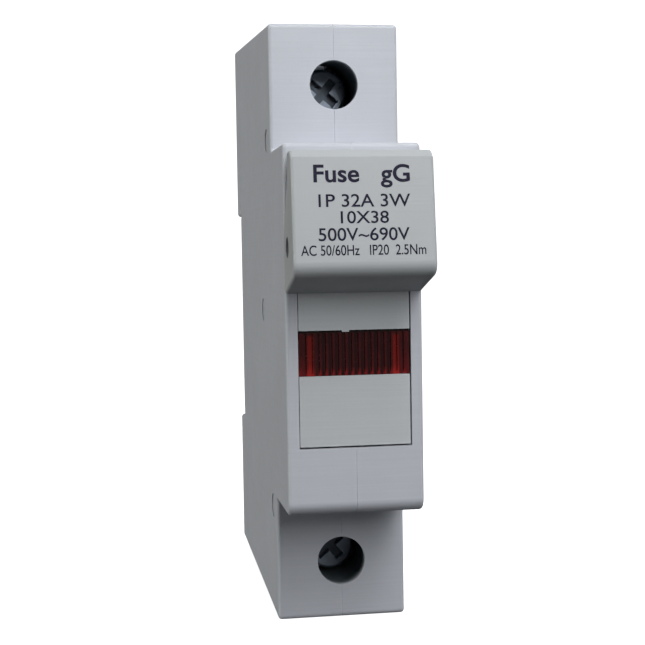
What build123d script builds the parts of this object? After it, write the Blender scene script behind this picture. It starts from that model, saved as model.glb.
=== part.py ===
"""Modular fuse holder for a 10 x 38 mm cylindrical fuse link, one 18 mm module wide, for 35 mm rail.

Frame: +X is the width, +Y points to the rail behind, +Z is up. The origin is the centre of the face
that seats on the rail. All sizes are in millimetres.
"""
import os

from build123d import *

# Housing: one module wide, in two half shells that meet at x = 0
HALF_WIDTH = 8.9
FACE_Y = -57.0            # front face of the raised middle section
SHOULDER_Y = -44.0        # front face of the terminal shoulders
LUG_Y = 5.5               # rear end of the rail lugs
FACE_HALF_Z = 23.85
TOP_Z = 41.0
BOTTOM_Z = -40.75
TOP_REAR_Z = 44.7
BOTTOM_REAR_Z = -39.2
SEAM_WIDTH = 0.05         # groove along the joint line, in each half shell
SEAM_DEPTH = 0.1
EDGE_ROUND = 0.5

# Rail seat and latch
RAIL_GAP_HALF_Z = 17.8
LAND_HALF_Z = 16.2        # the seat is a raised land between the hook tips
LAND_HEIGHT = 0.3
HOOK_TIP_Z = 16.4
HOOK_FRONT_Y = 1.4
LATCH_HALF_X = 3.8
LATCH_Y = (1.55, 4.25)
LATCH_TAIL_Z = -39.3
LATCH_TIP_BEVEL = 1.2
LATCH_WINDOW = (-37.0, -22.2)
LATCH_WINDOW_HALF_X = 2.0
TAIL_SLOT_Z = -36.0        # below this the channel is open to the rear, to reach the latch
SPRING_POST = (-33.0, -31.0)
POST_HALF_X = 1.2
SPRING_RADIUS = 0.9
SPRING_WIRE = 0.2
SPRING_TURNS = 6
SLIDE_GAP = 0.15

# Carrier cavity and the swing pivot
CAVITY_HALF_X = 7.35
CAVITY_REAR_Y = -35.2
CAVITY_Z = (-22.0, 22.0)
CORE_Y = (-28.0, -2.0)    # closed hollow behind the cavity
CORE_HALF_Z = 15.5
OPENING_LOW_Z = -15.15
LOWER_WALL_Y = -55.2
PIVOT_Y = -52.0
PIVOT_Z = -19.0
PIN_RADIUS = 1.5
PIN_GAP = 0.05
PIN_HALF_X = 8.2

# Terminals, one at the top and its mirror image at the bottom
TERMINAL_Z = 32.8
DRIVER_HOLE_RADIUS = 3.33
SHOULDER_WALL = 1.8
TUNNEL_RADIUS = 4.4       # behind the shoulder wall, wide enough for the screw head
ROOM_Y = (-31.0, -11.0)
ROOM_Z = (25.8, 39.3)
ROOM_HALF_X = 5.8
WIRE_HALF_X = 3.75
WIRE_Y = (-19.5, -12.5)
HEAD_Y = (-34.0, -31.2)
HEAD_RADIUS = 3.5
HEAD_ROUND = 0.5
CROSS_WIDTH = 1.3
CROSS_LENGTH = 4.8
RECESS_DEPTH = 1.7
SHANK_RADIUS = 2.5
SHANK_END_Y = -20.05
CAGE_HALF_X = 5.2
CAGE_HALF_Z = 4.5
CAGE_WALL = 1.2
CAGE_FRONT_Y = (-23.1, -20.6)
CAGE_REAR_Y = (-13.3, -11.8)

# Contact strips
STRIP_HALF_X = 4.0
STRIP_RUN_Z = (18.5, 19.7)
STRIP_TAIL_Y = (-20.0, -18.8)
STRIP_TOP_Z = 37.2
STRIP_GAP = 0.1
JAW_Z = (11.0, 18.5)
JAW_Y = (-46.0, -36.3)
JAW_X = (5.2, 5.8)
WEB_Y = (-36.9, -36.3)
LEAF = 0.35

# Carrier: handle, face, cheeks and cradle
CARRIER_HALF_X = 7.15
CARRIER_X = (-7.25, 7.15)   # the face sits nearer one side of its opening
FACE_LOW_Z = -14.9
HANDLE_LOW_Z = 4.8
HANDLE_BACK_Y = -57.1
HANDLE_TOP_Z = 22.4
HANDLE_TOP_Y = -64.1
HANDLE_NOSE_Y = -65.9
HANDLE_NOSE_Z = 7.2
NOSE_ROUND = 1.8
HANDLE_BEVEL = 0.9
HANDLE_EDGE_ROUND = 0.4
GRIP_Y = -61.0            # finger grips: wedges cut behind the handle's front edges
GRIP_X = 8.1
GRIP_LOW_Z = 12.4
PLATE_BACK_Y = -55.2
PLATE_TOP_Z = 21.4
CHEEK_X = 6.35
CHEEK_TOP_Y = -50.5
CHEEK_WAIST_Y = -48.0
CHEEK_REAR_Y = -41.0
CHEEK_HALF_Z = 8.5
CHEEK_LOW_Z = -12.0
ARM_FOOT = 1.83           # from the pivot axis, inside the boss
ARM_ELBOW = 4.7
ARM_TOP_Z = -8.0
ARM_LOW_Z = -17.0
SWING_RADIUS = 6.47       # everything in front of the pivot stays outside this radius
BOSS_RADIUS = 2.6
BOSS_X = 4.5
RIB_Z = ((5.0, 6.6), (-8.4, -6.8))
RIB_REAR_Y = -41.5
SEAL_HOLE = (-60.0, 10.6)
SEAL_HOLE_RADIUS = 1.3
SEAL_HOLE_DEPTH = 2.5

# Indicator
LENS_Y = -56.75           # the lens sits a little behind the carrier face
LENS_Z = (-5.82, -0.03)
LENS_RIBS = 17
LENS_RIM = 0.35
NIB_X = (-1.65, -0.75)      # moulding nib of the upper plate, in front of the lens
NIB_DROP = 0.18
GROOVE = 0.28
LAMP_Y = -51.4
LAMP_Z = -2.9
LAMP_RADIUS = 1.9
LAMP_ROUND = 0.9
LAMP_HALF_X = 4.0
LEAD_RADIUS = 0.3
LEAD_X = 4.9
LEAD_BEND_Z = 8.0
BEND_RADIUS = 0.6
RESISTOR_Z = (9.6, 15.2)
RESISTOR_RADIUS = 1.1
RESISTOR_WAIST = 0.95
COLLAR = 1.4
CONTACT_Z = (16.2, -12.0)

# Fuse link, 10 x 38
FUSE_Y = -43.0
FUSE_HALF_LENGTH = 19.0
CAP_RADIUS = 5.15
CAP_LENGTH = 10.0
CAP_END = 0.5
TUBE_RADIUS = 4.9
TUBE_BORE = 3.2
ELEMENT_HALF_X = 1.3
ELEMENT_THICKNESS = 0.16
NECK_RADIUS = 0.9
NECK_PITCH = 6.0

# Rivets and locating pegs, as (y, z)
RIVETS = ((-39.4, 25.6), (-32.0, 1.8), (-40.0, -25.4))
RIVET_RADIUS = 1.4
RIVET_HEAD_RADIUS = 1.6
RIVET_HEAD_X = (7.9, 8.8)
PEGS = ((-5.0, 33.0), (-5.0, -33.0))
PEG_RADIUS = 1.2
PEG_LENGTH = 2.0

MIDDLE = Align.CENTER
START = Align.MIN


def block(x, y, z):
    """Box between pairs of coordinates."""
    sizes = [high - low for low, high in (x, y, z)]
    return Pos(x[0], y[0], z[0]) * Box(*sizes, align=(START, START, START))


def rod_x(radius, x, y, z):
    """Round bar along X."""
    return Pos(x[0], y, z) * Rot(0, 90, 0) * Cylinder(radius, x[1] - x[0], align=(MIDDLE, MIDDLE, START))


def rod_y(radius, x, y, z):
    """Round bar along Y."""
    return Pos(x, y[0], z) * Rot(-90, 0, 0) * Cylinder(radius, y[1] - y[0], align=(MIDDLE, MIDDLE, START))


def rod_z(radius, x, y, z):
    """Round bar along Z."""
    return Pos(x, y, z[0]) * Cylinder(radius, z[1] - z[0], align=(MIDDLE, MIDDLE, START))


def outline(corners):
    """Flat shape in the YZ plane from (y, z, corner radius)."""
    shape = make_face(Polyline(*[(y, z) for y, z, _ in corners], close=True))
    for y, z, radius in corners:
        if radius:
            corner = shape.vertices().sort_by_distance(Vector(y, z, 0))[0]
            shape = fillet(corner, radius)
    return shape


def prism_x(corners, x):
    """Outline extruded along X."""
    return Pos(x[0], 0, 0) * extrude(Plane.YZ * outline(corners), x[1] - x[0], dir=(1, 0, 0))


def both_sides(solid):
    """The solid and its mirror image in x = 0."""
    return solid + mirror(solid, Plane.YZ)


def other_end(solid):
    """Mirror image in z = 0, for the lower terminal."""
    return mirror(solid, Plane.XY)


HOUSING = (
    (FACE_Y, -FACE_HALF_Z, 1.7),
    (FACE_Y, FACE_HALF_Z, 0.6),
    (SHOULDER_Y, FACE_HALF_Z, 0.5),
    (SHOULDER_Y, TOP_Z, 0.6),
    (LUG_Y, TOP_REAR_Z, 0.8),
    (LUG_Y, HOOK_TIP_Z, 0.5),
    (HOOK_FRONT_Y, HOOK_TIP_Z, 0.3),
    (HOOK_FRONT_Y, RAIL_GAP_HALF_Z, 0),
    (-LAND_HEIGHT, RAIL_GAP_HALF_Z, 0),
    (-LAND_HEIGHT, LAND_HALF_Z, 0),
    (0.0, LAND_HALF_Z, 0),
    (0.0, -LAND_HALF_Z, 0),
    (-LAND_HEIGHT, -LAND_HALF_Z, 0),
    (-LAND_HEIGHT, -RAIL_GAP_HALF_Z, 0),
    (LUG_Y, -RAIL_GAP_HALF_Z, 0.5),
    (LUG_Y, BOTTOM_REAR_Z, 0.8),
    (SHOULDER_Y, BOTTOM_Z, 0.6),
    (SHOULDER_Y, -FACE_HALF_Z, 0.5),
)


def seam_groove():
    """Shallow groove along the outer edge of the joint face, clear of the rail seat."""
    flat = outline(HOUSING)
    ring = extrude(Plane.YZ * (flat - offset(flat, -SEAM_DEPTH)), SEAM_WIDTH, dir=(1, 0, 0))
    return ring & block((-1, 1), (FACE_Y - 1, -1.0), (BOTTOM_Z - 5, TOP_REAR_Z + 5))


def terminal_room():
    """Space for the upper screw and cage, with its driver tunnel, wire entry and strip slots."""
    room = block((-ROOM_HALF_X, ROOM_HALF_X), ROOM_Y, ROOM_Z)
    room += rod_y(DRIVER_HOLE_RADIUS, 0, (SHOULDER_Y - 1, ROOM_Y[0]), TERMINAL_Z)
    room += rod_y(TUNNEL_RADIUS, 0, (SHOULDER_Y + SHOULDER_WALL, ROOM_Y[0] + 1), TERMINAL_Z)
    room += block((-WIRE_HALF_X, WIRE_HALF_X), WIRE_Y, (ROOM_Z[1] - 1, TOP_REAR_Z + 1))
    slot_x = (-STRIP_HALF_X - STRIP_GAP, STRIP_HALF_X + STRIP_GAP)
    run_y = (CAVITY_REAR_Y - 1, STRIP_TAIL_Y[1] + STRIP_GAP)
    room += block(slot_x, run_y, (STRIP_RUN_Z[0] - STRIP_GAP, STRIP_RUN_Z[1] + STRIP_GAP))
    tail_y = (STRIP_TAIL_Y[0] - STRIP_GAP, STRIP_TAIL_Y[1] + STRIP_GAP)
    room += block(slot_x, tail_y, (STRIP_RUN_Z[0] - STRIP_GAP, ROOM_Z[0] + 1))
    return room


def carrier_cavity():
    """Space behind the front opening for the carrier and its fuse link."""
    wide = (-CAVITY_HALF_X, CAVITY_HALF_X)
    cavity = block(wide, (LOWER_WALL_Y, CAVITY_REAR_Y), CAVITY_Z)
    return cavity + block(wide, (FACE_Y - 1, LOWER_WALL_Y), (OPENING_LOW_Z, CAVITY_Z[1]))


def rear_core():
    """Hollow between the carrier cavity and the rail seat."""
    return block((-CAVITY_HALF_X, CAVITY_HALF_X), CORE_Y, (-CORE_HALF_Z, CORE_HALF_Z))


def latch_channel():
    """Guide for the rail latch, open at both ends, with a post left for its spring."""
    wide = (-LATCH_HALF_X - SLIDE_GAP, LATCH_HALF_X + SLIDE_GAP)
    deep = (LATCH_Y[0] - SLIDE_GAP, LATCH_Y[1] + SLIDE_GAP)
    channel = block(wide, deep, (BOTTOM_Z - 1, -RAIL_GAP_HALF_Z + 1))
    channel += block(wide, (deep[0], LUG_Y + 1), (BOTTOM_Z - 1, TAIL_SLOT_Z))
    post = block((-POST_HALF_X, POST_HALF_X), (deep[0] - 1, deep[1] + 1), SPRING_POST)
    return channel - post


def rivet(y, z):
    """Rivet through both half shells, with a head at each side."""
    shank = rod_x(RIVET_RADIUS, (-RIVET_HEAD_X[0], RIVET_HEAD_X[0]), y, z)
    head = fillet(rod_x(RIVET_HEAD_RADIUS, RIVET_HEAD_X, y, z).edges().group_by(Axis.X)[-1], 0.25)
    return shank + both_sides(head)


def rivet_holes():
    holes = [rod_x(RIVET_RADIUS, (-HALF_WIDTH, HALF_WIDTH), y, z) for y, z in RIVETS]
    for y, z in RIVETS:
        holes.append(both_sides(rod_x(RIVET_HEAD_RADIUS + 0.05, (RIVET_HEAD_X[0], HALF_WIDTH + 1), y, z)))
    return holes


def half_shell():
    """Half shell on the +X side, before its pegs."""
    shell = prism_x(HOUSING, (0, HALF_WIDTH))
    outer = shell.edges().filter_by_position(Axis.X, HALF_WIDTH - 0.01, HALF_WIDTH + 0.01)
    shell = fillet(outer, EDGE_ROUND)
    room = terminal_room()
    pin_bore = rod_x(PIN_RADIUS, (0, PIN_HALF_X), PIVOT_Y, PIVOT_Z)
    rooms = (room, other_end(room), carrier_cavity(), rear_core(), latch_channel())
    for space in rooms + (pin_bore, seam_groove()):
        shell -= space
    for hole in rivet_holes():
        shell -= hole
    return shell


def locating_pegs(radius):
    return [rod_x(radius, (-PEG_LENGTH, 0), y, z) for y, z in PEGS]


def housing_right():
    shell = half_shell()
    for peg in locating_pegs(PEG_RADIUS):
        shell += peg
    return shell


def housing_left():
    shell = mirror(half_shell(), Plane.YZ)
    for socket in locating_pegs(PEG_RADIUS):
        shell -= socket
    return shell


def housing_rivets():
    return Compound(children=[rivet(y, z) for y, z in RIVETS])


def finger_grip():
    """Wedge behind the handle's front edge at +X, deepest at the top."""
    outer_x = HALF_WIDTH + 1
    top_z = HANDLE_TOP_Z + 1
    corners = ((outer_x, GRIP_LOW_Z), (HALF_WIDTH, GRIP_LOW_Z), (GRIP_X, top_z), (outer_x, top_z))
    wedge = Plane.XZ * make_face(Polyline(*corners, close=True))
    return Pos(0, GRIP_Y, 0) * extrude(wedge, HANDLE_BACK_Y + 1 - GRIP_Y, dir=(0, 1, 0))


def handle():
    """Full-width grip with a bevelled top edge, a rounded nose and a sealing hole at each side."""
    corners = (
        (HANDLE_BACK_Y, HANDLE_LOW_Z, 0),
        (HANDLE_NOSE_Y, HANDLE_NOSE_Z, NOSE_ROUND),
        (HANDLE_TOP_Y, HANDLE_TOP_Z, 0),
        (HANDLE_BACK_Y, HANDLE_TOP_Z, 0),
    )
    grip = prism_x(corners, (-HALF_WIDTH, HALF_WIDTH))
    top_edge = grip.edges().filter_by(Axis.X).sort_by_distance(Vector(0, HANDLE_TOP_Y, HANDLE_TOP_Z))[0]
    grip = chamfer(top_edge, HANDLE_BEVEL)
    sides = grip.faces().filter_by(Axis.X).edges()
    grip = fillet(sides.filter_by(lambda edge: edge.center().Y < HANDLE_BACK_Y - 0.5), HANDLE_EDGE_ROUND)
    hole_x = (HALF_WIDTH - SEAL_HOLE_DEPTH, HALF_WIDTH + 1)
    return grip - both_sides(rod_x(SEAL_HOLE_RADIUS, hole_x, *SEAL_HOLE)) - both_sides(finger_grip())


def cheek():
    """Side wall of the carrier at +X, cut clear of the swing and joined to its pivot boss."""
    plate = prism_x(
        (
            (PLATE_BACK_Y, FACE_LOW_Z, 0),
            (PLATE_BACK_Y, PLATE_TOP_Z, 0),
            (CHEEK_TOP_Y, PLATE_TOP_Z, 1.0),
            (CHEEK_WAIST_Y, CHEEK_HALF_Z, 0),
            (CHEEK_REAR_Y, CHEEK_HALF_Z, 1.0),
            (CHEEK_REAR_Y, -CHEEK_HALF_Z, 0),
            (CHEEK_WAIST_Y + 1.0, -CHEEK_HALF_Z, 0),
            (CHEEK_WAIST_Y, CHEEK_LOW_Z, 0),
        ),
        (CHEEK_X, CARRIER_HALF_X),
    )
    plate -= rod_x(SWING_RADIUS, (0, HALF_WIDTH), PIVOT_Y, PIVOT_Z)
    arm = prism_x(
        (
            (PIVOT_Y + ARM_FOOT, PIVOT_Z + ARM_FOOT, 0),
            (PIVOT_Y + ARM_ELBOW, PIVOT_Z + ARM_ELBOW, 0),
            (PIVOT_Y + ARM_ELBOW + 0.5, ARM_TOP_Z, 0),
            (CHEEK_REAR_Y, ARM_TOP_Z, 0),
            (CHEEK_REAR_Y - 1.0, ARM_LOW_Z, 1.0),
            (PIVOT_Y + ARM_FOOT, PIVOT_Z - ARM_FOOT, 0),
        ),
        (CHEEK_X, CARRIER_HALF_X),
    )
    return plate + arm + rod_x(BOSS_RADIUS, (BOSS_X, CARRIER_HALF_X), PIVOT_Y, PIVOT_Z)


def cradle_rib(z):
    """Rib between the cheeks, hollowed for the ceramic tube and notched for the lamp leads."""
    rib = block((-CHEEK_X, CHEEK_X), (PLATE_BACK_Y, RIB_REAR_Y), z)
    rib -= rod_z(TUBE_RADIUS + 0.1, 0, FUSE_Y, (z[0] - 1, z[1] + 1))
    notch = block((LEAD_X - 0.6, LEAD_X + 0.6), (LAMP_Y - 0.6, LAMP_Y + 0.6), (z[0] - 1, z[1] + 1))
    return rib - both_sides(notch)


def fuse_carrier():
    body = handle() + block(CARRIER_X, (FACE_Y, PLATE_BACK_Y), (0.0, PLATE_TOP_Z))
    body += block(CARRIER_X, (HANDLE_BACK_Y - 0.8, FACE_Y), (HANDLE_LOW_Z + 0.8, PLATE_TOP_Z))
    lower_face = block(CARRIER_X, (FACE_Y, PLATE_BACK_Y), (FACE_LOW_Z, LENS_Z[0] - 0.03))
    body += block(NIB_X, (FACE_Y, LENS_Y), (LENS_Z[1] - NIB_DROP, 0.1))
    body += lower_face - rod_x(SWING_RADIUS, (-HALF_WIDTH, HALF_WIDTH), PIVOT_Y, PIVOT_Z)
    body += both_sides(cheek())
    for z in RIB_Z:
        body += cradle_rib(z)
    return body - rod_x(PIN_RADIUS + PIN_GAP, (-HALF_WIDTH, HALF_WIDTH), PIVOT_Y, PIVOT_Z)


def indicator_lens():
    """Ribbed window across the whole carrier face."""
    lens = block(CARRIER_X, (LENS_Y, PLATE_BACK_Y), LENS_Z)
    pitch = (CARRIER_X[1] - CARRIER_X[0]) / LENS_RIBS
    groove_z = (LENS_Z[0] + LENS_RIM, LENS_Z[1] - LENS_RIM)
    for step in range(1, LENS_RIBS):
        x = CARRIER_X[0] + step * pitch
        lens -= block((x - GROOVE / 2, x + GROOVE / 2), (LENS_Y - 1, LENS_Y + GROOVE), groove_z)
    return lens


def indicator_lamp():
    """Glow lamp across the carrier, with rounded ends."""
    bulb = rod_x(LAMP_RADIUS, (-LAMP_HALF_X, LAMP_HALF_X), LAMP_Y, LAMP_Z)
    return fillet(bulb.edges().filter_by(GeomType.CIRCLE), LAMP_ROUND)


def wire(points):
    """Round wire through the given points, with bent corners."""
    path = FilletPolyline(*points, radius=BEND_RADIUS)
    start = Plane(origin=path @ 0, z_dir=path % 0)
    return sweep(start * Circle(LEAD_RADIUS), path=path)


def lamp_lead_upper():
    points = ((LAMP_HALF_X, LAMP_Y, LAMP_Z), (LEAD_X, LAMP_Y, LAMP_Z), (LEAD_X, LAMP_Y, LEAD_BEND_Z))
    return wire(points + ((0, LAMP_Y, LEAD_BEND_Z), (0, LAMP_Y, RESISTOR_Z[0])))


def lamp_lead_lower():
    low = CONTACT_Z[1]
    points = ((-LAMP_HALF_X, LAMP_Y, LAMP_Z), (-LEAD_X, LAMP_Y, LAMP_Z), (-LEAD_X, LAMP_Y, low))
    return wire(points + ((0, LAMP_Y, low), (0, FUSE_Y - CAP_RADIUS, low)))


def resistor_lead():
    high = CONTACT_Z[0] + 0.6
    return wire(((0, LAMP_Y, RESISTOR_Z[1]), (0, LAMP_Y, high), (0, FUSE_Y - CAP_RADIUS, high)))


def lamp_resistor():
    """Axial resistor with a thicker collar at each end."""
    body = rod_z(RESISTOR_WAIST, 0, LAMP_Y, RESISTOR_Z)
    for z in (RESISTOR_Z[0], RESISTOR_Z[1] - COLLAR):
        body += rod_z(RESISTOR_RADIUS, 0, LAMP_Y, (z, z + COLLAR))
    return body


def fuse_tube():
    z = (-FUSE_HALF_LENGTH + CAP_END, FUSE_HALF_LENGTH - CAP_END)
    return rod_z(TUBE_RADIUS, 0, FUSE_Y, z) - rod_z(TUBE_BORE, 0, FUSE_Y, z)


def fuse_cap():
    """Upper end cap, a cup over the end of the tube."""
    low = FUSE_HALF_LENGTH - CAP_LENGTH
    cap = rod_z(CAP_RADIUS, 0, FUSE_Y, (low, FUSE_HALF_LENGTH))
    cap = fillet(cap.edges().filter_by(GeomType.CIRCLE).group_by(Axis.Z)[-1], 0.4)
    return cap - rod_z(TUBE_RADIUS, 0, FUSE_Y, (low, FUSE_HALF_LENGTH - CAP_END))


def fuse_element():
    """Thin strip along the tube, with necks that melt first."""
    half = FUSE_HALF_LENGTH - CAP_END
    thin = (FUSE_Y - ELEMENT_THICKNESS / 2, FUSE_Y + ELEMENT_THICKNESS / 2)
    strip = block((-ELEMENT_HALF_X, ELEMENT_HALF_X), thin, (-half, half))
    for neck in range(-2, 3):
        strip -= both_sides(rod_y(NECK_RADIUS, ELEMENT_HALF_X, thin, neck * NECK_PITCH))
    return strip


def fuse_sand():
    """Quartz filling around the strip."""
    half = FUSE_HALF_LENGTH - CAP_END
    thin = (FUSE_Y - ELEMENT_THICKNESS / 2, FUSE_Y + ELEMENT_THICKNESS / 2)
    sand = rod_z(TUBE_BORE, 0, FUSE_Y, (-half, half))
    return sand - block((-ELEMENT_HALF_X, ELEMENT_HALF_X), thin, (-half, half))


def contact_clip():
    """Upper contact: two jaws around the fuse cap, a web behind it and a strip to the terminal."""
    clip = both_sides(block(JAW_X, JAW_Y, JAW_Z))
    clip += block((-JAW_X[1], JAW_X[1]), WEB_Y, JAW_Z)
    strip_x = (-STRIP_HALF_X, STRIP_HALF_X)
    clip += block(strip_x, WEB_Y, (JAW_Z[0], STRIP_RUN_Z[1]))
    clip += block(strip_x, (WEB_Y[0], STRIP_TAIL_Y[1]), STRIP_RUN_Z)
    return clip + block(strip_x, STRIP_TAIL_Y, (STRIP_RUN_Z[0], STRIP_TOP_Z))


def clip_spring():
    """Steel leaf around the upper jaws that keeps them closed."""
    z = (JAW_Z[0] + 1.5, JAW_Z[1] - 1.5)
    leaf = both_sides(block((JAW_X[1], JAW_X[1] + LEAF), (JAW_Y[0] + 0.6, JAW_Y[1]), z))
    return leaf + block((-JAW_X[1] - LEAF, JAW_X[1] + LEAF), (JAW_Y[1], JAW_Y[1] + LEAF), z)


def terminal_screw():
    """Upper screw: head with a cross recess, and a shank that reaches the strip."""
    head = rod_y(HEAD_RADIUS, 0, HEAD_Y, TERMINAL_Z)
    head = fillet(head.edges().filter_by(GeomType.CIRCLE).group_by(Axis.Y)[0], HEAD_ROUND)
    half_width = (-CROSS_WIDTH / 2, CROSS_WIDTH / 2)
    half_length = (-CROSS_LENGTH / 2, CROSS_LENGTH / 2)
    arm = block(half_width, (HEAD_Y[0] - 1, HEAD_Y[0] + RECESS_DEPTH), half_length)
    for angle in (40, 130):
        head -= Pos(0, 0, TERMINAL_Z) * Rot(0, angle, 0) * arm
    return head + rod_y(SHANK_RADIUS, 0, (HEAD_Y[1], SHANK_END_Y), TERMINAL_Z)


def clamp_cage():
    """Upper cage: a square frame, open to the wire, with a bored front wall for the screw."""
    z = (TERMINAL_Z - CAGE_HALF_Z, TERMINAL_Z + CAGE_HALF_Z)
    cage = block((-CAGE_HALF_X, CAGE_HALF_X), (CAGE_FRONT_Y[0], CAGE_REAR_Y[1]), z)
    cage = fillet(cage.edges().filter_by(Axis.Z), 0.8)
    inner = CAGE_HALF_X - CAGE_WALL
    cage -= block((-inner, inner), (CAGE_FRONT_Y[1], CAGE_REAR_Y[0]), (z[0] - 1, z[1] + 1))
    return cage - rod_y(SHANK_RADIUS + PIN_GAP, 0, (CAGE_FRONT_Y[0] - 1, CAGE_FRONT_Y[1] + 1), TERMINAL_Z)


def carrier_pivot_pin():
    pin = rod_x(PIN_RADIUS, (-PIN_HALF_X, PIN_HALF_X), PIVOT_Y, PIVOT_Z)
    return chamfer(pin.edges().filter_by(GeomType.CIRCLE), 0.2)


def rail_latch():
    """Sliding latch with a hook tip behind the rail's lower lip and a window for its spring."""
    latch = block((-LATCH_HALF_X, LATCH_HALF_X), LATCH_Y, (LATCH_TAIL_Z, -HOOK_TIP_Z))
    tip = latch.edges().filter_by(Axis.X).group_by(Axis.Z)[-1].sort_by(Axis.Y)[-1]
    latch = chamfer(tip, LATCH_TIP_BEVEL)
    window_x = (-LATCH_WINDOW_HALF_X, LATCH_WINDOW_HALF_X)
    return latch - block(window_x, (LATCH_Y[0] - 1, LATCH_Y[1] + 1), LATCH_WINDOW)


def latch_spring():
    """Compression spring between the post below and the latch window's upper edge."""
    low = SPRING_POST[1] + SPRING_WIRE
    height = LATCH_WINDOW[1] - SPRING_WIRE - low
    path = Helix(pitch=height / SPRING_TURNS, height=height, radius=SPRING_RADIUS)
    start = Plane(origin=path @ 0, z_dir=path % 0)
    coil = sweep(start * Circle(SPRING_WIRE), path=path, is_frenet=True)
    return Pos(0, sum(LATCH_Y) / 2, low) * coil


def all_parts():
    """Every node by name."""
    parts = {
        "housing_left": housing_left(),
        "housing_right": housing_right(),
        "housing_rivets": housing_rivets(),
        "carrier_pivot_pin": carrier_pivot_pin(),
        "rail_latch": rail_latch(),
        "latch_spring": latch_spring(),
        "fuse_carrier": fuse_carrier(),
        "indicator_lens": indicator_lens(),
        "indicator_lamp": indicator_lamp(),
        "lamp_resistor": lamp_resistor(),
        "lamp_lead_upper": lamp_lead_upper(),
        "lamp_lead_lower": lamp_lead_lower(),
        "resistor_lead": resistor_lead(),
        "fuse_tube": fuse_tube(),
        "fuse_cap_upper": fuse_cap(),
        "fuse_cap_lower": other_end(fuse_cap()),
        "fuse_element": fuse_element(),
        "fuse_sand": fuse_sand(),
    }
    for name, make in (
        ("contact_clip", contact_clip),
        ("clip_spring", clip_spring),
        ("terminal_screw", terminal_screw),
        ("clamp_cage", clamp_cage),
    ):
        upper = make()
        parts["upper_" + name] = upper
        parts["lower_" + name] = other_end(upper)
    return parts


os.makedirs("parts", exist_ok=True)
for node, solid in all_parts().items():
    export_step(solid, f"parts/{node}.step")
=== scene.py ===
import math

import bpy
from mathutils import Matrix, Vector


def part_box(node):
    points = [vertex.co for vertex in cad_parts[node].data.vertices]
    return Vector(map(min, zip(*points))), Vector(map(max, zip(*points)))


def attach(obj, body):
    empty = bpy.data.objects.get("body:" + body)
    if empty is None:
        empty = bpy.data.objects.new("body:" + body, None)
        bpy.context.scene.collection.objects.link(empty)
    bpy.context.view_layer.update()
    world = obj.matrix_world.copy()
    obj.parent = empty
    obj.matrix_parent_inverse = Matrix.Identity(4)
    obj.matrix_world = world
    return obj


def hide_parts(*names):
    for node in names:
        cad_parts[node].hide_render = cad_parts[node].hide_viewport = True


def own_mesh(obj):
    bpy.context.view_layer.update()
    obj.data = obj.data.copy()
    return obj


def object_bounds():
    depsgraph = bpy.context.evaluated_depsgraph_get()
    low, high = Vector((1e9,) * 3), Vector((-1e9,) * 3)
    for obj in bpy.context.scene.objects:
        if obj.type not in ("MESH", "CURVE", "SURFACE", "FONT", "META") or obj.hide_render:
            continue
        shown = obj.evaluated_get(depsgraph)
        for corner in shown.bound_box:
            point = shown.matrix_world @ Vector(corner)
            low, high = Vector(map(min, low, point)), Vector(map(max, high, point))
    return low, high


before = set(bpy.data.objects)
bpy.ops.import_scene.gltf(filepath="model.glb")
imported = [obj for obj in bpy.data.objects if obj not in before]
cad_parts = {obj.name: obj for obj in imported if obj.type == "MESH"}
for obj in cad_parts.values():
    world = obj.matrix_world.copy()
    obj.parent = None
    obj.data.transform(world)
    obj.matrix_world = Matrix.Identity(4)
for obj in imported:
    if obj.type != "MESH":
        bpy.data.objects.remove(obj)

MM = 0.001
CAD_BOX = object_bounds()

# Colours, linear RGB
HOUSING_GREY = (0.56, 0.585, 0.64)
CARRIER_GREY = (0.55, 0.58, 0.60)
LATCH_BLACK = (0.03, 0.03, 0.033)
ROOM_SHADOW = (0.15, 0.18, 0.20)
ZINC = (0.36, 0.42, 0.50)
STEEL = (0.55, 0.55, 0.56)
SPRING_STEEL = (0.36, 0.36, 0.38)
TINNED_COPPER = (0.72, 0.58, 0.44)
NICKEL = (0.66, 0.64, 0.60)
TINNED_LEAD = (0.7, 0.7, 0.69)
SILVER = (0.8, 0.79, 0.76)
CERAMIC = (0.76, 0.74, 0.68)
QUARTZ = (0.58, 0.5, 0.38)
FLOOR_TONES = (0.86, 0.86, 0.86), (0.9, 0.9, 0.9)

# Places on the part that materials follow, in millimetres
ROOM_HALF_X = 6.6
ROOM_HALF_Z = 7.0
ROOM_MID_Z = 32.8
ROOM_FRONT_Y = -43.25
ROOM_BACK_Y = -10.6
SCREW_RECESS_Y = -33.4
HANDLE_SHADE_Z = (2.0, 9.0)
RIB_COUNT = 17
RIBBED_HALF_X = 4.85
LENS_MARGIN_X = 5.8
LIGHT_GUIDE_SHARES = (0.105, 0.878)
# height and colour of each band
RESISTOR_BANDS = (
    (10.4, (0.5, 0.18, 0.02)),
    (11.5, (0.02, 0.02, 0.02)),
    (12.6, (0.6, 0.42, 0.03)),
    (14.4, (0.45, 0.3, 0.08)),
)

# Generic ratings: text, width, letter height, height of the baseline and stroke gain, in millimetres.
# More gain breaks the thin letters.
PRINT_LINES = (
    ("Fuse   gG", 11.8, 2.2, 18.45, 0.06),
    ("1P 32A 3W", 11.3, 1.62, 15.42, 0.02),
    ("10X38", 5.9, 1.55, 13.42, 0.02),
    ("500V~690V", 11.2, 1.62, 11.32, 0.02),
    ("AC 50/60Hz   IP20  2.5Nm", 15.4, 1.3, 9.55, 0.015),
)
CAP_HEIGHT = 0.73
PRINT_SHIFT_X = -0.2
PRINT_GAP = 0.004
PRINT_DEPTH = 0.012
PRINTED_FACE_Z = (11, 20)

# Latch spring
COIL_WIRE_RADIUS = 0.2 * MM
COIL_TURNS = 8
COIL_STEPS = 24
COIL_SIDES = 10

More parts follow.
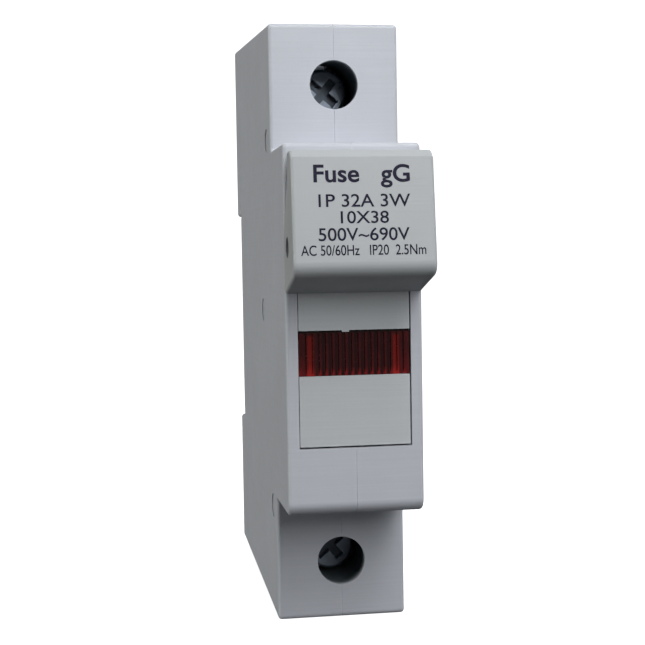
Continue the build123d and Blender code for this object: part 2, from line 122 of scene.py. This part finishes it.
# Stage, in metres
FLOOR_GAP = 0.05 * MM
FLOOR_HALF_WIDTH = 1.8
FLOOR_FRONT_Y = -1.6
FLOOR_BEND_Y = 0.55
FLOOR_BEND_RADIUS = 0.35
FLOOR_BEND_STEPS = 12
BACKDROP_TOP_Z = 1.8
WORLD_COLOUR = (0.95, 0.97, 1.0, 1.0)
WORLD_STRENGTH = 0.066
WHITE = (1.0, 1.0, 1.0)
PART_AIM = (0.0, -0.04, 0.0)
# name, place, size, power, colour and the point it shines at
LIGHTS = (
    ("key", (0.05, -0.20, 0.21), (0.14, 0.14), 0.42, WHITE, PART_AIM),
    ("front", (0.12, -0.51, 0.22), (0.25, 0.25), 0.98, WHITE, PART_AIM),
    ("fill_left", (-0.7, 0.0, 0.12), (0.5, 0.5), 2.75, (1.0, 0.99, 0.93), PART_AIM),
    ("low_front", (0.05, -0.45, -0.10), (0.3, 0.2), 0.03, WHITE, PART_AIM),
    ("fill_right", (0.6, 0.4, 0.25), (0.5, 0.5), 2.2, WHITE, PART_AIM),
    ("backdrop_wash", (0.0, 0.25, 1.2), (1.6, 0.6), 2.0, WHITE, (0.0, 0.9, 0.2)),
)

# Camera: place in millimetres, angles in degrees, lens in millimetres on a 36 mm sensor
CAMERA_PLACE = (-29.903, -221.262, 9.690)
CAMERA_ROLL = -0.9415
CAMERA_PITCH = 2.9787
CAMERA_TURN = 8.9123
CAMERA_LENS = 72.95
CAMERA_SENSOR = 36.0


# ---------------------------------------------------------------- node helpers
class Graph:
    """A Principled material with short calls for its nodes and links."""

    def __init__(self, name):
        self.material = bpy.data.materials.new(name)
        self.material.use_nodes = True
        self.tree = self.material.node_tree
        self.shader = self.tree.nodes["Principled BSDF"]
        coordinates = self.add("ShaderNodeTexCoord").outputs["Object"]
        in_millimetres = self.add("ShaderNodeVectorMath", operation="SCALE")
        in_millimetres.inputs["Scale"].default_value = 1 / MM
        self.link(coordinates, in_millimetres.inputs[0])
        self.place = in_millimetres.outputs[0]

    def add(self, kind, **settings):
        node = self.tree.nodes.new(kind)
        for key, value in settings.items():
            setattr(node, key, value)
        return node

    def link(self, source, target):
        self.tree.links.new(source, target)

    def set(self, **values):
        for key, value in values.items():
            self.shader.inputs[key.replace("_", " ")].default_value = value

    def stretched(self, scale):
        """Coordinates in millimetres, stretched along each axis."""
        node = self.add("ShaderNodeVectorMath", operation="MULTIPLY")
        node.inputs[1].default_value = scale
        self.link(self.place, node.inputs[0])
        return node.outputs[0]

    def noise(self, scale, detail=4.0, stretch=None, rough=0.55):
        node = self.add("ShaderNodeTexNoise")
        node.inputs["Scale"].default_value = scale
        node.inputs["Detail"].default_value = detail
        node.inputs["Roughness"].default_value = rough
        self.link(self.stretched(stretch) if stretch else self.place, node.inputs["Vector"])
        return node.outputs["Fac"]

    def spread(self, value, low=0.3, high=0.7, to_low=0.0, to_high=1.0, smooth=False):
        """Value between low and high, spread over to_low and to_high."""
        node = self.add("ShaderNodeMapRange")
        if smooth:
            node.interpolation_type = "SMOOTHSTEP"
        for key, number in zip(("From Min", "From Max", "To Min", "To Max"), (low, high, to_low, to_high)):
            node.inputs[key].default_value = number
        self.link(value, node.inputs["Value"])
        return node.outputs[0]

    def above(self, value, limit, blur):
        """1 above a limit and 0 below it, with a soft edge."""
        return self.spread(value, limit - blur, limit + blur)

    def below(self, value, limit, blur):
        """1 below a limit and 0 above it, with a soft edge."""
        return self.spread(value, limit + blur, limit - blur)

    def axes(self, *names):
        """Chosen coordinates in millimetres."""
        node = self.add("ShaderNodeSeparateXYZ")
        self.link(self.place, node.inputs[0])
        return [node.outputs[name] for name in names]

    def math(self, operation, first, second=0.0):
        node = self.add("ShaderNodeMath", operation=operation)
        for socket, value in zip(node.inputs, (first, second)):
            if isinstance(value, (int, float)):
                socket.default_value = value
            else:
                self.link(value, socket)
        return node.outputs[0]

    def times(self, first, second):
        return self.math("MULTIPLY", first, second)

    def distance(self, value, centre=0.0):
        """How far a coordinate is from a centre, on either side."""
        return self.math("ABSOLUTE", self.math("SUBTRACT", value, centre))

    def mix(self, factor, first, second):
        """Colour between two colours, each a triple or a node's output."""
        node = self.add("ShaderNodeMix", data_type="RGBA")
        for socket, value in ((node.inputs[0], factor), (node.inputs[6], first), (node.inputs[7], second)):
            if isinstance(value, tuple):
                socket.default_value = value + (1.0,)
            else:
                self.link(value, socket)
        return node.outputs[2]

    def edges(self, radius):
        """About 1 on sharp outer and inner edges, 0 on flat faces."""
        bevel = self.add("ShaderNodeBevel", samples=6)
        bevel.inputs["Radius"].default_value = radius
        normal = self.add("ShaderNodeNewGeometry").outputs["Normal"]
        dot = self.add("ShaderNodeVectorMath", operation="DOT_PRODUCT")
        self.link(bevel.outputs[0], dot.inputs[0])
        self.link(normal, dot.inputs[1])
        return self.spread(dot.outputs["Value"], 0.995, 0.9)

    def bump(self, height, distance, strength=1.0, under=None):
        node = self.add("ShaderNodeBump")
        node.inputs["Distance"].default_value = distance
        node.inputs["Strength"].default_value = strength
        self.link(height, node.inputs["Height"])
        if under:
            self.link(under, node.inputs["Normal"])
        return node.outputs[0]

    def finish(self, colour, roughness, normal=None):
        self.link(colour, self.shader.inputs["Base Color"])
        self.link(roughness, self.shader.inputs["Roughness"])
        if normal:
            self.link(normal, self.shader.inputs["Normal"])
        return self.material


def shade(colour, factor):
    return tuple(channel * factor for channel in colour)


# ---------------------------------------------------------------- materials
def terminal_shadow(g, tone):
    """Dark inside of the two terminal rooms, behind the shoulder walls."""
    x, y, z = g.axes("X", "Y", "Z")
    inside = g.below(g.distance(x), ROOM_HALF_X, 0.2)
    from_middle = g.distance(g.distance(z), ROOM_MID_Z)
    inside = g.times(inside, g.below(from_middle, ROOM_HALF_Z, 0.2))
    inside = g.times(inside, g.above(y, ROOM_FRONT_Y, 0.35))
    inside = g.times(inside, g.below(y, ROOM_BACK_Y, 0.2))
    return g.mix(inside, tone, ROOM_SHADOW)


def moulded(name, colour, rough=0.5, streak=1.0, rooms=False, shaded_handle=False):
    """Moulded thermoplastic: soft blotches, fine grain, faint flow lines and paler rubbed edges.
    The rooms option paints shade inside the terminal rooms; the handle option paints shade on the handle,
    darker towards its top."""
    g = Graph(name)
    g.set(Specular_IOR_Level=0.4)
    blotch = g.spread(g.noise(0.09, 3.0))
    flow = g.spread(g.noise(1.0, 5.0, (0.05, 0.05, 3.2)), 0.35, 0.65)
    speck = g.spread(g.noise(3.1, 2.0), 0.66, 0.74)
    tone = g.mix(blotch, shade(colour, 0.965), shade(colour, 1.03))
    tone = g.mix(g.times(flow, 0.5 * streak), tone, shade(colour, 0.93))
    tone = g.mix(g.times(speck, 0.12), tone, shade(colour, 0.55))
    worn = g.times(g.edges(0.35 * MM), g.spread(g.noise(0.8), 0.35, 0.65, 0.15, 0.55))
    tone = g.mix(worn, tone, shade(colour, 1.22))
    if rooms:
        tone = terminal_shadow(g, tone)
    if shaded_handle:
        # painted shade: the handle darkens from 2 mm up to 9 mm and stays dark above
        handle_shade = g.spread(g.axes("Z")[0], *HANDLE_SHADE_Z, 0.0, 0.85)
        tone = g.mix(handle_shade, tone, shade(colour, 0.78))
    roughness = g.spread(g.noise(0.6, 4.0), 0.3, 0.7, rough - 0.05, rough + 0.08)
    normal = g.bump(g.noise(9.0, 3.0), 0.012 * MM, 0.6)
    normal = g.bump(flow, 0.010 * MM * streak, 0.5, normal)
    return g.finish(tone, roughness, normal)


def metal(name, colour, rough, scratch=(0.4, 9.0, 0.4), tarnish=0.35, recess_y=None):
    """Plated or drawn metal: brush lines, dull patches, brighter edges and painted shade on the part that
    lies behind recess_y.
    """
    g = Graph(name)
    g.set(Metallic=1.0)
    lines = g.noise(1.6, 4.0, scratch)
    patch = g.spread(g.noise(0.45, 4.0), 0.42, 0.68)
    tone = g.mix(g.times(patch, tarnish), colour, shade(colour, 0.5))
    tone = g.mix(g.times(g.edges(0.2 * MM), 0.6), tone, shade(colour, 1.3))
    # painted shade on the part that lies deep in the terminal room
    if recess_y:
        tone = g.mix(g.above(g.axes("Y")[0], recess_y, 0.15), tone, shade(colour, 0.35))
    roughness = g.spread(lines, 0.3, 0.7, rough * 0.75, rough * 1.35)
    return g.finish(tone, roughness, g.bump(lines, 0.012 * MM, 0.7))


def mineral(name, colour, grain, rough):
    """Unglazed ceramic or packed quartz."""
    g = Graph(name)
    cells = g.noise(grain, 6.0, rough=0.7)
    tone = g.mix(g.spread(cells), shade(colour, 0.8), shade(colour, 1.1))
    stain = g.spread(g.noise(0.2, 4.0), 0.5, 0.75, 0.0, 0.4)
    tone = g.mix(stain, tone, shade(colour, 0.72))
    return g.finish(tone, g.spread(cells, 0.3, 0.7, rough - 0.1, rough + 0.1), g.bump(cells, 0.03 * MM))


def red_lens():
    """Clear red moulding over a dark chamber, with painted light in its colour: a painted glow in two light
    guides and in the side margins near the foot, painted teeth of light at its foot, painted shade in the
    grooves between the ribs and a painted shadow along its top.
    """
    g = Graph("lens_red")
    g.set(Specular_IOR_Level=0.2, Coat_Weight=0.05, Coat_Roughness=0.2)
    low, high = (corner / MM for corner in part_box("indicator_lens"))
    width = high.x - low.x
    foot = low.z
    top = high.z
    x, z = g.axes("X", "Z")
    from_middle = g.distance(x)
    smoke = g.spread(g.noise(0.55, 4.0))
    tone = g.mix(smoke, (0.042, 0.0052, 0.0058), (0.070, 0.0072, 0.0078))

    ribs = g.math("SINE", g.times(g.math("SUBTRACT", x, low.x), math.tau * RIB_COUNT / width))
    # painted shade in the grooves between the ribs
    ribbed = g.below(from_middle, RIBBED_HALF_X, 0.15)
    groove = g.times(g.spread(ribs, 0.1, -0.6), ribbed)
    tone = g.mix(g.times(groove, 0.75), tone, (0.010, 0.0035, 0.004))

    # painted glow in the side margins, stronger towards the foot
    margin = g.above(from_middle, LENS_MARGIN_X, 0.4)
    low_glow = g.spread(z, foot + 3.4, foot, smooth=True)
    tone = g.mix(g.times(margin, low_glow), tone, (0.095, 0.007, 0.008))

    # painted teeth of light along the foot, one at each rib
    teeth = g.times(g.spread(z, foot + 1.15, foot + 0.2, smooth=True), g.spread(ribs, -0.5, 0.9))
    tone = g.mix(g.times(teeth, 0.9), tone, (0.20, 0.011, 0.010))

    # painted glow in the two light guides, stronger near the foot
    guide = 0.0
    for share in LIGHT_GUIDE_SHARES:
        guide = g.math("MAXIMUM", g.below(g.distance(x, low.x + share * width), 0.38, 0.08), guide)
    guide = g.times(guide, g.below(z, top - 0.675, 0.225))
    guide_glow_tone = g.mix(g.below(z, foot + 0.9, 0.6), (0.185, 0.009, 0.006), (0.34, 0.016, 0.014))
    tone = g.mix(g.times(guide, g.spread(smoke, 0.0, 1.0, 0.85, 1.0)), tone, guide_glow_tone)

    # painted shadow along the top edge
    tone = g.mix(g.above(z, top - 0.275, 0.075), tone, (0.008, 0.002, 0.002))
    return g.finish(tone, g.spread(g.noise(2.5), 0.3, 0.7, 0.14, 0.3), g.bump(g.noise(6.0), 0.01 * MM, 0.4))


def lamp_glass():
    g = Graph("lamp_glass")
    g.set(Transmission_Weight=0.7, IOR=1.5)
    tone = g.mix(g.spread(g.noise(0.5)), (0.85, 0.55, 0.42), (0.95, 0.78, 0.66))
    return g.finish(tone, g.spread(g.noise(1.5), 0.3, 0.7, 0.05, 0.15), g.bump(g.noise(1.0), 0.02 * MM, 0.3))


def banded_resistor():
    """Lacquered body with four colour bands."""
    g = Graph("resistor_banded")
    along = g.axes("Z")[0]
    tone = g.mix(g.spread(g.noise(1.2)), (0.52, 0.38, 0.2), (0.62, 0.48, 0.28))
    for centre, colour in RESISTOR_BANDS:
        tone = g.mix(g.below(g.distance(along, centre), 0.27, 0.03), tone, colour)
    return g.finish(tone, g.spread(g.noise(2.0), 0.3, 0.7, 0.25, 0.4), g.bump(g.noise(2.0), 0.02 * MM, 0.4))


def printing_ink():
    """Pad-printed ink, thin in places."""
    g = Graph("ink_dark")
    g.set(Specular_IOR_Level=0.2)
    thin = g.spread(g.noise(2.6, 4.0), 0.58, 0.75, 0.0, 0.25)
    tone = g.mix(thin, (0.007, 0.005, 0.026), (0.05, 0.042, 0.10))
    return g.finish(tone, g.spread(g.noise(3.0), 0.3, 0.7, 0.45, 0.65), g.bump(g.noise(8.0), 0.01 * MM, 0.4))


def floor_paint():
    """Pale matt floor with a glow that keeps it even."""
    g = Graph("floor_pale")
    g.set(Emission_Color=WHITE + (1.0,), Emission_Strength=0.92)
    tone = g.mix(g.spread(g.noise(0.01)), *FLOOR_TONES)
    return g.finish(tone, g.spread(g.noise(0.05), 0.3, 0.7, 0.75, 0.85))


def paint_nodes():
    """A material for each CAD node that stays in view."""
    finishes = (
        (moulded("housing_plastic", HOUSING_GREY, rooms=True), "housing_left", "housing_right"),
        (moulded("rivet_plastic", shade(HOUSING_GREY, 0.93)), "housing_rivets"),
        (moulded("carrier_plastic", CARRIER_GREY, rough=0.46, shaded_handle=True), "fuse_carrier"),
        (moulded("latch_plastic", LATCH_BLACK, streak=0.4), "rail_latch"),
        (metal("screw_zinc", ZINC, 0.34, recess_y=SCREW_RECESS_Y),
         "upper_terminal_screw", "lower_terminal_screw"),
        (metal("cage_zinc", STEEL, 0.3), "upper_clamp_cage", "lower_clamp_cage"),
        (metal("tinned_copper", TINNED_COPPER, 0.32, (0.3, 0.3, 9.0)),
         "upper_contact_clip", "lower_contact_clip"),
        (metal("spring_steel", SPRING_STEEL, 0.3), "upper_clip_spring", "lower_clip_spring"),
        (metal("pin_steel", STEEL, 0.25, (9.0, 0.5, 0.5)), "carrier_pivot_pin"),
        (metal("cap_nickel", NICKEL, 0.26, (0.5, 0.5, 9.0), 0.2), "fuse_cap_upper", "fuse_cap_lower"),
        (metal("lead_tinned", TINNED_LEAD, 0.3), "lamp_lead_upper", "lamp_lead_lower", "resistor_lead"),
        (metal("element_silver", SILVER, 0.2), "fuse_element"),
        (mineral("tube_ceramic", CERAMIC, 2.5, 0.55), "fuse_tube"),
        (mineral("quartz_sand", QUARTZ, 5.0, 0.85), "fuse_sand"),
        (lamp_glass(), "indicator_lamp"),
        (banded_resistor(), "lamp_resistor"),
        (red_lens(), "indicator_lens"),
    )
    for material, *names in finishes:
        for name in names:
            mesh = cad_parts[name].data
            mesh.materials.clear()
            mesh.materials.append(material)


# ---------------------------------------------------------------- new pieces
def add_object(name, data):
    piece = bpy.data.objects.new(name, data)
    bpy.context.scene.collection.objects.link(piece)
    return piece


def front_point(node, x, z):
    """The point of a CAD node that faces the front at x, z."""
    start = Vector((x, CAD_BOX[0].y - 0.01, z))
    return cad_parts[node].ray_cast(start, Vector((0, 1, 0)))[1]


def latch_coil():
    """Spring of the rail latch with closed end turns, built at its rest length; nothing here shortens it as
    the latch slides down.
    It has the same steel as the springs of the clips."""
    low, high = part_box("latch_spring")
    centre = (low + high) / 2
    wire = COIL_WIRE_RADIUS
    coil_radius = (high.x - low.x) / 2 - wire
    closed_pitch = 2.1 * wire
    height = high.z - low.z - 2 * wire
    open_pitch = (height - 2 * closed_pitch) / (COIL_TURNS - 2)
    vertices = []
    for step in range(COIL_TURNS * COIL_STEPS + 1):
        turn = step / COIL_STEPS
        closed_turns = min(turn, 1) + max(turn - COIL_TURNS + 1, 0)
        rise = low.z + wire + closed_pitch * closed_turns + open_pitch * (turn - closed_turns)
        for side in range(COIL_SIDES):
            angle = math.tau * side / COIL_SIDES
            reach = coil_radius + wire * math.cos(angle)
            x = centre.x + reach * math.cos(math.tau * turn)
            y = centre.y + reach * math.sin(math.tau * turn)
            vertices.append((x, y, rise + wire * math.sin(angle)))
    faces = []
    for first in range(0, len(vertices) - COIL_SIDES, COIL_SIDES):
        for side in range(COIL_SIDES):
            after = (side + 1) % COIL_SIDES
            faces.append((first + side, first + COIL_SIDES + side, first + COIL_SIDES + after, first + after))
    last = len(vertices) - 1
    faces.append(tuple(range(COIL_SIDES)))
    faces.append(tuple(range(last, last - COIL_SIDES, -1)))
    mesh = bpy.data.meshes.new("latch_coil")
    mesh.from_pydata(vertices, [], faces)
    for face in mesh.polygons:
        face.use_smooth = len(face.vertices) == 4
    mesh.materials.append(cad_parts["upper_clip_spring"].data.materials[0])
    piece = add_object("latch_coil", mesh)
    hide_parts("latch_spring")
    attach(piece, "base")
    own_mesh(piece)


def rating_text():
    """Printed lines on the handle's sloping front."""
    ink = printing_ink()
    nose, brow = (front_point("fuse_carrier", 0, height * MM) for height in PRINTED_FACE_Z)
    up = (brow - nose).normalized()
    out = Vector((1, 0, 0)).cross(up)
    for number, (words, width, height, level, gain) in enumerate(PRINT_LINES, 1):
        curve = bpy.data.curves.new(f"print_line_{number}", "FONT")
        curve.body = words
        curve.align_x = "CENTER"
        curve.size = 1.0
        curve.materials.append(ink)
        piece = add_object(f"print_line_{number}", curve)
        bpy.context.view_layer.update()
        stretch_x = width * MM / piece.dimensions.x
        stretch_y = height * MM / CAP_HEIGHT
        curve.extrude = 0.5
        curve.offset = gain * MM / stretch_y
        baseline = nose + up * ((level * MM - nose.z) / up.z)
        foot = baseline + out * PRINT_GAP * MM + Vector((PRINT_SHIFT_X * MM, 0, 0))
        axes = Matrix((Vector((1, 0, 0)) * stretch_x, up * stretch_y, out * PRINT_DEPTH * MM)).transposed()
        piece.matrix_world = Matrix.Translation(foot) @ axes.to_4x4()
        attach(piece, "carrier")


# ---------------------------------------------------------------- stage, light, camera
def stage():
    """Pale floor that curves up into a backdrop."""
    floor_z = CAD_BOX[0].z - FLOOR_GAP
    rows = [(FLOOR_FRONT_Y, floor_z), (FLOOR_BEND_Y, floor_z)]
    for step in range(1, FLOOR_BEND_STEPS + 1):
        angle = math.pi / 2 * step / FLOOR_BEND_STEPS
        across = FLOOR_BEND_RADIUS * math.sin(angle)
        rise = FLOOR_BEND_RADIUS * (1 - math.cos(angle))
        rows.append((FLOOR_BEND_Y + across, floor_z + rise))
    rows.append((FLOOR_BEND_Y + FLOOR_BEND_RADIUS, BACKDROP_TOP_Z))
    vertices = [(x, y, z) for y, z in rows for x in (-FLOOR_HALF_WIDTH, FLOOR_HALF_WIDTH)]
    faces = [(2 * row, 2 * row + 1, 2 * row + 3, 2 * row + 2) for row in range(len(rows) - 1)]
    mesh = bpy.data.meshes.new("floor")
    mesh.from_pydata(vertices, [], faces)
    for face in mesh.polygons:
        face.use_smooth = True
    mesh.materials.append(floor_paint())
    floor = add_object("floor", mesh)
    floor.visible_diffuse = False
    floor.visible_glossy = False


def lighting():
    """Dim sky and soft area lights."""
    world = bpy.data.worlds.new("studio")
    world.use_nodes = True
    background = world.node_tree.nodes["Background"]
    background.inputs["Color"].default_value = WORLD_COLOUR
    background.inputs["Strength"].default_value = WORLD_STRENGTH
    bpy.context.scene.world = world
    for name, place, size, power, colour, aim in LIGHTS:
        data = bpy.data.lights.new(name, "AREA")
        data.shape = "RECTANGLE"
        data.size, data.size_y = size
        data.energy = power
        data.color = colour
        light = add_object(name, data)
        light.location = place
        light.rotation_euler = (Vector(aim) - Vector(place)).to_track_quat("-Z", "Y").to_euler()
    bpy.context.scene.view_settings.view_transform = "Standard"


def camera():
    """Camera in front of the part, a little to its left."""
    data = bpy.data.cameras.new("camera")
    data.sensor_width = CAMERA_SENSOR
    data.lens = CAMERA_LENS
    data.clip_start = 0.01
    roll = Matrix.Rotation(math.radians(CAMERA_ROLL), 3, "Y")
    pitch = Matrix.Rotation(math.radians(CAMERA_PITCH), 3, "X")
    turn = Matrix.Rotation(math.radians(CAMERA_TURN), 3, "Z")
    right, forward, up = (roll @ pitch @ turn).row
    axes = Matrix((right, up, -forward)).transposed()
    eye = add_object("camera", data)
    eye.matrix_world = Matrix.Translation(Vector(CAMERA_PLACE) * MM) @ axes.to_4x4()
    bpy.context.scene.camera = eye


paint_nodes()
latch_coil()
rating_text()
stage()
lighting()
camera()
